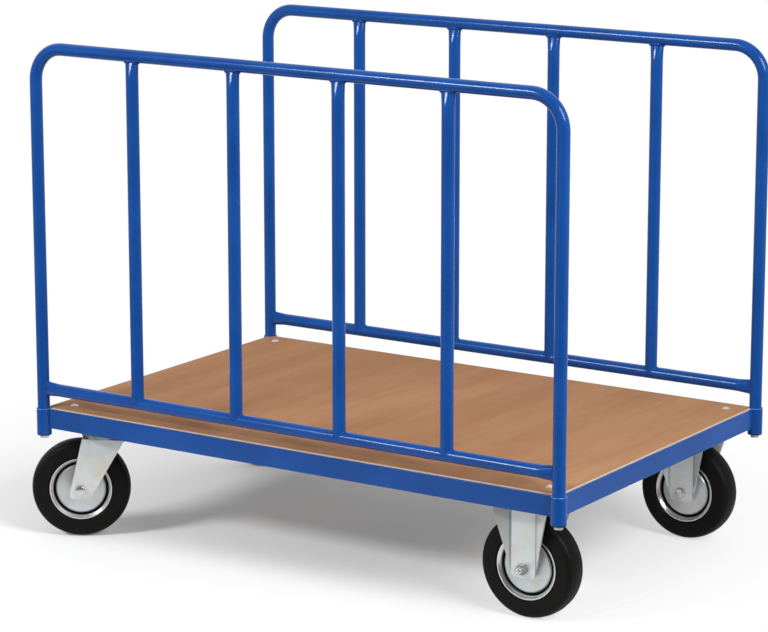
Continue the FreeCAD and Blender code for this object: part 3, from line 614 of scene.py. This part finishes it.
class CART_OT_plate_zinc(bpy.types.Operator):
    """Plate the forks, plates and fasteners, and finish the hidden bearing steel."""
    bl_idname = "cart.plate_zinc"
    bl_label = "Plate zinc"
    # Painted shade along a fixed fork's bends: half widths of its dark and its soft part, and how
    # dark it is
    crease_dark, crease_soft, crease_share = 0.0004, 0.0036, 0.42
    # Heights between which the painted shade of the bends ends below a fork's plate
    crease_end, plate_bottom = 0.205, 0.21

    def execute(self, context):
        zinc = context.scene.cart.zinc
        self.plate("zinc_fasteners", zinc, zinc.steel, zinc.dark,
                   ending("axle_bolt", "axle_bolts", "caster_bolts"),
                   dullness=-0.1, metal=zinc.bolt_metal)
        self.plate("zinc_plate", zinc, zinc.pale, zinc.warm,
                   ending("swivel_fork", "swivel_plate", "hub_tube", "leg_bolts", "deck_bolts",
                          "leg_plugs"))
        self.plate("zinc_fixed_forks", zinc, zinc.pale, zinc.warm, ending("fixed_fork"),
                   middle=JOINTS["near_fixed_wheel_spin"]["pos_m"][0])
        # A darker, duller zinc on the dust rings and axle nuts; part of its darkness is painted
        # shade, for the shade under the frame and round the nuts
        self.plate("dull_zinc", zinc, zinc.dark, zinc.grime_and_painted_shade,
                   ending("dust_ring", "axle_nut", "axle_nuts"), dullness=0.1)
        # Black oxide on the leg washers; part of its darkness is painted shade, for the shade under
        # each sleeve
        self.plate("black_oxide", zinc, zinc.oxide_and_painted_shade, zinc.grime_and_painted_shade, ending("leg_washers"),
                   dullness=0.2)
        material, root = new_material("bearing_steel")
        smear = root.places().noise(scale=60.0, detail=3.0)
        close_material(root, colour=smear.blend(zinc.dark, zinc.pale), metallic=1.0,
                       roughness=0.2 + 0.2 * smear)
        dress(material, ending("balls", "king_pin", "bearing_washer", "axle_sleeve",
                               "axle_sleeves"))
        return {"FINISHED"}

    def plate(self, name, zinc, main, patch, nodes, dullness=0.0, middle=None, metal=None):
        """Clouded plating with faint runs and specks and, on forks round a middle, painted shade
        along the bends.
        """
        material, root = new_material(name)
        places = root.places()
        cloud = places.noise(scale=24.0, detail=4.0, roughness=0.6).between(0.4, 0.72)
        runs = places.stretched(120.0, 120.0, 9.0).noise().between(0.45, 0.8)
        specks = places.noise(scale=520.0).between(0.6, 0.75)
        colour = (cloud * 0.75 + runs * 0.2).blend(main, patch)
        colour = specks.blend(colour, zinc.dark, share=0.3)
        if middle is not None:
            # Painted shade: a dark line along each bend of a fixed fork's leg, down to just below its
            # plate
            beside = abs(abs(places.part("X") - middle) - zinc.crease)
            crease = 1 - beside.between(self.crease_dark, self.crease_soft)
            below_plate = 1 - places.part("Z").between(self.crease_end, self.plate_bottom)
            colour = (crease * below_plate).blend(colour, zinc.grime_and_painted_shade, share=self.crease_share)
        dull = zinc.roughness + dullness
        close_material(root, colour=colour, metallic=metal or zinc.metal,
                       roughness=dull + 0.12 * specks + 0.1 * cloud,
                       normal=(cloud * 0.6 + specks * 0.4).bump(strength=0.08, distance=0.0005))
        dress(material, nodes)


class CART_OT_spin_rims(bpy.types.Operator):
    """Finish each wheel's pressed rim: turned disc with a painted sheen, a groove darkened with
    painted shade, and a bright bead.
    """
    bl_idname = "cart.spin_rims"
    bl_label = "Spin rims"
    # Widths over which the zones of a rim run into each other
    wall_edge, wall_rise, inner_edge, outer_edge, bead_edge = 0.0004, 0.004, 0.0006, 0.0008, 0.0006
    # Painted sheen of the turned disc, a painted reflection in its colour: where its broad wedge and
    # its three narrow ones lie
    broad_turn, narrow_turn, narrow_share = 2.2, 0.6, 0.4

    def execute(self, context):
        zinc = context.scene.cart.zinc
        inner, outer = zinc.groove
        wall_radius, wall_foot = zinc.wall
        for wheel in WHEELS:
            material, root = new_material(wheel + "_rim")
            arm, axle = wheel_arm(root, wheel)
            level = arm.towards(axle.cross(UP))
            up = arm.part("Z")
            depth = abs(arm.towards(axle))
            radius = root.maths("SQRT", up * up + level * level)
            turn = root.maths("ARCTAN2", up, level)
            # Painted sheen: wedges round the axle where the disc's colour goes darker and lighter, a
            # painted reflection
            narrow = root.maths("COSINE", turn * 3 + self.narrow_turn)
            painted_sheen = root.maths("COSINE", turn - self.broad_turn) + narrow * self.narrow_share
            on_disc = root.node("ShaderNodeCombineXYZ", None, {"X": radius, "Y": painted_sheen})
            marks = on_disc.stretched(900.0, 0.6, 1.0).noise()
            cloud = root.places().noise(scale=30.0, detail=3.0).between(0.4, 0.75)
            plating = cloud.blend(zinc.pale, zinc.warm, share=0.7)
            colour = (painted_sheen.between(-0.6, 1.4) * 0.5 + 0.18).blend(plating, zinc.dark)
            wall = radius.between(wall_radius - self.wall_edge, wall_radius)
            wall = wall * depth.between(wall_foot, wall_foot + self.wall_rise)
            past_groove = radius.between(outer, outer + self.outer_edge)
            ring = radius.between(inner - self.inner_edge, inner) * (1 - past_groove)
            # Painted shade: deep in the groove between disc and bead the colour goes dark and the
            # surface rougher, outside the bright wall
            groove = ring * (1 - wall)
            bead = radius.between(outer, outer + self.bead_edge)
            colour = groove.blend(bead.blend(colour, zinc.steel), zinc.grime_and_painted_shade)
            close_material(root, colour=colour, metallic=zinc.rim_metal + 0.25 * bead,
                           roughness=zinc.roughness + 0.14 * marks - 0.1 * bead + 0.3 * groove,
                           normal=marks.bump(strength=0.05, distance=0.0004))
            dress(material, [wheel + "_rim_halves"])
        return {"FINISHED"}


class CART_OT_turn_bolts(bpy.types.Operator):
    """Fit the axle bolts: two with the head on the near side, one longer than the rest."""
    bl_idname = "cart.turn_bolts"
    bl_label = "Turn bolts"
    # How much of a bolt's end moves when the bolt is lengthened
    tip_length = 0.002
    # Edges that turn by more than this stay sharp
    sharp = math.radians(25)

    def execute(self, context):
        zinc = context.scene.cart.zinc
        self.refit("near_swivel_axle_bolt", "near_swivel", "near_swivel")
        self.refit("near_swivel_axle_nut", "near_swivel", "near_swivel")
        self.refit("fixed_axle_bolts", "far_fixed", "chassis", zinc.bolt_reach)
        self.refit("fixed_axle_nuts", "far_fixed", "chassis")
        return {"FINISHED"}

    def refit(self, node, wheel, body, longer=0.0):
        """A copy of a node, turned end for end on one wheel, with the near bolt lengthened."""
        source = frame["nodes"][node].data
        shape = bmesh.new()
        shape.from_mesh(source)
        bmesh.ops.remove_doubles(shape, verts=shape.verts, dist=1e-6)
        centre = Vector(JOINTS[wheel + "_wheel_spin"]["pos_m"])
        tip = min(vert.co.y for vert in shape.verts)
        end = [vert for vert in shape.verts if vert.co.y < tip + self.tip_length]
        bmesh.ops.translate(shape, vec=(0, -longer, 0), verts=end)
        turned = [vert for vert in shape.verts if vert.co.y * centre.y > 0]
        bmesh.ops.rotate(shape, cent=centre, matrix=Matrix.Rotation(math.pi, 3, "Z"), verts=turned)
        piece = keep_piece(node + "_fitted", shape, source.materials[0], body,
                           self.sharp)
        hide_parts(node)


class CART_OT_cut_threads(bpy.types.Operator):
    """Wind the thread round the free end of each axle bolt."""
    bl_idname = "cart.cut_threads"
    bl_label = "Cut threads"
    # Sides of the ridge and steps round one turn
    sides = 4
    steps = 24
    # Half height of the ridge and free length at the ends, in pitches
    half_ridge, free_turns = 0.42, 1.5

    def execute(self, context):
        zinc = context.scene.cart.zinc
        middle = JOINTS["near_fixed_wheel_spin"]["pos_m"][1]
        nut_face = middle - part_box("fixed_axle_nuts")[0][1]
        bolt_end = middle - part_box("fixed_axle_bolts")[0][1]
        for wheel in WHEELS:
            joint = JOINTS[wheel + "_wheel_spin"]
            outward = Vector(joint["axis"]) * (1 if wheel in TURNED_BOLTS else -1)
            longer = zinc.bolt_reach if wheel == "near_fixed" else 0
            shape = bmesh.new()
            self.wind(shape, zinc, bolt_end - nut_face + longer)
            place = Matrix.Translation(Vector(joint["pos_m"]) + outward * nut_face)
            turned = outward.to_track_quat("Z", "Y").to_matrix().to_4x4()
            bmesh.ops.transform(shape, matrix=place @ turned, verts=shape.verts)
            keep_piece(wheel + "_axle_thread", shape, bpy.data.materials["zinc_fasteners"],
                       joint["parent"])
        return {"FINISHED"}

    def wind(self, shape, zinc, length):
        """A ridge wound up Z from the nut's face to just short of the bolt's end."""
        seat = Matrix.Translation((zinc.bolt, 0, zinc.thread / 2))
        seat = seat @ Matrix.Rotation(math.pi / 2, 4, "X")
        flat = Matrix.Diagonal((zinc.crest, zinc.thread * self.half_ridge, 1, 1))
        bmesh.ops.create_circle(shape, segments=self.sides, radius=1.0, matrix=seat @ flat)
        turns = length / zinc.thread - self.free_turns
        count = round(turns * self.steps)
        bmesh.ops.spin(shape, geom=shape.verts[:] + shape.edges[:], axis=UP,
                       angle=FULL_TURN * turns, steps=count,
                       dvec=(0, 0, zinc.thread * turns / count))
        bmesh.ops.holes_fill(shape, edges=[edge for edge in shape.edges if edge.is_boundary])


class CART_OT_mould_tyres(bpy.types.Operator):
    """Finish the tyres, with the mould's lines round their shoulders, and the roller sleeves."""
    bl_idname = "cart.mould_tyres"
    bl_label = "Mould tyres"

    def execute(self, context):
        rubber = context.scene.cart.rubber
        for wheel in WHEELS:
            material, root = new_material(wheel + "_rubber")
            arm, axle = wheel_arm(root, wheel)
            beside = abs(abs(arm.towards(axle)) - rubber.shoulder)
            parting = 1 - beside.between(0, rubber.parting)
            places = root.places()
            grain = places.noise(scale=700.0, detail=3.0)
            bloom = places.noise(scale=30.0, detail=4.0, roughness=0.65).between(0.35, 0.75)
            scuff = places.noise(scale=160.0, detail=4.0, roughness=0.7).between(0.55, 0.8)
            colour = (bloom * 0.7 + scuff * 0.3).blend(rubber.colour, rubber.bloom)
            close_material(root, colour=colour, roughness=rubber.roughness + 0.18 * bloom,
                           specular=rubber.gloss,
                           normal=(grain * 0.06 - parting).bump(strength=0.9, distance=0.002))
            dress(material, [wheel + "_tyre"])
        material, root = new_material("grey_nylon")
        mottle = root.places().noise(scale=90.0, detail=3.0)
        close_material(root, colour=mottle.blend(rubber.nylon, rubber.bloom),
                       roughness=0.5 + 0.2 * mottle)
        dress(material, ending("roller_sleeve"))
        return {"FINISHED"}


class CART_OT_set_stage(bpy.types.Operator):
    """Floor, studio light and camera."""
    bl_idname = "cart.set_stage"
    bl_label = "Set stage"
    # Each lamp's name, setting for its power, place, aim and size
    lamps = [("front_lamp", "front", (-2.2, -4.4, 3.2), (-1.4, 0.0, 0.3), (1.5, 0.8)),
             ("end_lamp", "side", (4.0, -1.4, 3.1), (0, 0, 0.3), (2.0, 2.0)),
             ("overhead_lamp", "overhead", (0.6, -0.6, 4.0), (0, 0, 0.3), (3.0, 3.0))]
    # Where the parts of the studio lie, seen from the cart
    to_background = (-0.55, 0.83, 0.0)
    to_backdrop = (0.84, 0.54, 0.0)
    past_backdrop = (0.75, 0.66, 0.0)
    to_left_screen = (-0.5, -0.866, 0.0)
    to_right_screen = (0.8, -0.6, 0.0)
    # The floor's disc: its sides, and how much further it goes than it shows
    floor_sides = 96
    floor_spare = 1.2

    def execute(self, context):
        scene = context.scene
        stage = scene.cart.stage
        self.lay_floor(scene, stage)
        self.light_world(scene, stage)
        for name, setting, place, aim, size in self.lamps:
            self.hang_lamp(scene, name, getattr(stage, setting), place, aim, size)
        self.seat_camera(scene, stage)
        scene.view_settings.view_transform = "Standard"
        return {"FINISHED"}

    def lay_floor(self, scene, stage):
        """A pale floor that takes the shadow and fades into the white background further out."""
        shape = bmesh.new()
        bmesh.ops.create_circle(shape, cap_ends=True, segments=self.floor_sides,
                                radius=stage.mirror_end * self.floor_spare)
        mesh = bpy.data.meshes.new("floor")
        shape.to_mesh(mesh)
        shape.free()
        material, root = new_material("pale_floor")
        places = root.places()
        reach = places.vector("DISTANCE", stage.fade_centre)
        grain = places.noise(scale=3.0)
        shown = 1 - reach.between(stage.fade_start, stage.fade_end)
        reflected = 1 - reach.between(stage.mirror_start, stage.mirror_end)
        mirrored = root.node("ShaderNodeLightPath", output="Is Glossy Ray")
        close_material(root, colour=stage.floor, roughness=0.75 + 0.1 * grain, specular=0.1,
                       alpha=stage.floor_alpha * (shown + mirrored * (reflected - shown)))
        mesh.materials.append(material)
        floor = bpy.data.objects.new("floor", mesh)
        scene.collection.objects.link(floor)

    def light_world(self, scene, stage):
        """White to the camera. Reflections show the white background behind the cart, a lit
        backdrop at its fixed end, and a dim room with one lit screen in front. As light, all of
        it is softer."""
        world = bpy.data.worlds.new("studio")
        world.use_nodes = True
        world.node_tree.nodes.clear()
        root = Shade(world.node_tree)
        seen = root.node("ShaderNodeLightPath", output="Is Camera Ray")
        glossy = root.node("ShaderNodeLightPath", output="Is Glossy Ray")
        through = root.node("ShaderNodeLightPath", output="Is Transmission Ray")
        mirrored = root.maths("MAXIMUM", glossy, through)
        way = root.node("ShaderNodeTexCoord", output="Generated")
        backward = way.towards(self.to_background)
        leftward = way.towards(self.to_left_screen)
        rightward = way.towards(self.to_right_screen)
        behind = backward.between(-0.2, 0.7)
        backdrop = way.towards(self.to_backdrop).between(0.4, 0.85)
        shown = stage.room + behind * (stage.background - stage.room)
        shown = shown + backdrop * (stage.backdrop - shown)
        shown = shown + leftward.between(0.88, 0.985) * stage.screen
        screens = leftward.between(0.5, 0.95) + rightward.between(0.5, 0.95)
        end = way.towards(self.past_backdrop).between(0.55, 0.9)
        low = 1 - way.part("Z").between(0.1, 0.6)
        glow = stage.world + behind * (stage.rear - stage.world) + screens * stage.fill
        glow = glow + low * (end * stage.end + backward.between(0.2, 0.8) * stage.back)
        strength = glow + seen * (1 - glow) + mirrored * (shown - glow)
        light = root.node("ShaderNodeBackground", None,
                          {"Color": (1, 1, 1), "Strength": strength})
        root.node("ShaderNodeOutputWorld", None, {"Surface": light})
        scene.world = world

    def hang_lamp(self, scene, name, power, place, aim, size):
        """A rectangular lamp that points at its aim."""
        lamp = bpy.data.lights.new(name, "AREA")
        lamp.shape = "RECTANGLE"
        lamp.size, lamp.size_y = size
        lamp.energy = power
        seat = bpy.data.objects.new(name, lamp)
        scene.collection.objects.link(seat)
        seat.location = place
        seat.rotation_euler = (Vector(aim) - Vector(place)).to_track_quat("-Z", "Y").to_euler()

    def seat_camera(self, scene, stage):
        """The camera, where the photograph was taken from."""
        camera = bpy.data.cameras.new("camera")
        camera.sensor_fit = "HORIZONTAL"
        camera.lens = stage.focal * camera.sensor_width
        seat = bpy.data.objects.new("camera", camera)
        scene.collection.objects.link(seat)
        flat = math.cos(stage.elevation)
        away = Vector((math.sin(stage.azimuth) * flat, -math.cos(stage.azimuth) * flat,
                       math.sin(stage.elevation)))
        seat.location = Vector(stage.target) + away * stage.distance
        seat.rotation_euler = (-away).to_track_quat("-Z", "Y").to_euler()
        scene.camera = seat


OPERATORS = [CART_OT_paint_steel, CART_OT_weld_bows, CART_OT_round_sleeves, CART_OT_lay_deck,
             CART_OT_plate_zinc, CART_OT_spin_rims, CART_OT_turn_bolts, CART_OT_cut_threads,
             CART_OT_mould_tyres, CART_OT_set_stage]


class CART_PT_looks(bpy.types.Panel):
    """Lists the steps that dress the cart."""
    bl_idname = "CART_PT_looks"
    bl_label = "Cart"
    bl_space_type = "VIEW_3D"
    bl_region_type = "UI"
    bl_category = "Cart"

    def draw(self, context):
        for operator in OPERATORS:
            self.layout.operator(operator.bl_idname)


GROUPS = [PaintSettings, DeckSettings, ZincSettings, RubberSettings, StageSettings, CartSettings]
CLASSES = GROUPS + OPERATORS + [CART_PT_looks]


def register():
    for made in CLASSES:
        bpy.utils.register_class(made)
    bpy.types.Scene.cart = PointerProperty(type=CartSettings)


def unregister():
    del bpy.types.Scene.cart
    for made in reversed(CLASSES):
        bpy.utils.unregister_class(made)


def main():
    register()
    bpy.ops.cart.paint_steel()
    bpy.ops.cart.weld_bows()
    bpy.ops.cart.round_sleeves()
    bpy.ops.cart.lay_deck()
    bpy.ops.cart.plate_zinc()
    bpy.ops.cart.spin_rims()
    bpy.ops.cart.turn_bolts()
    bpy.ops.cart.cut_threads()
    bpy.ops.cart.mould_tyres()
    bpy.ops.cart.set_stage()
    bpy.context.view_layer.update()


if __name__ == "__main__":
    main()
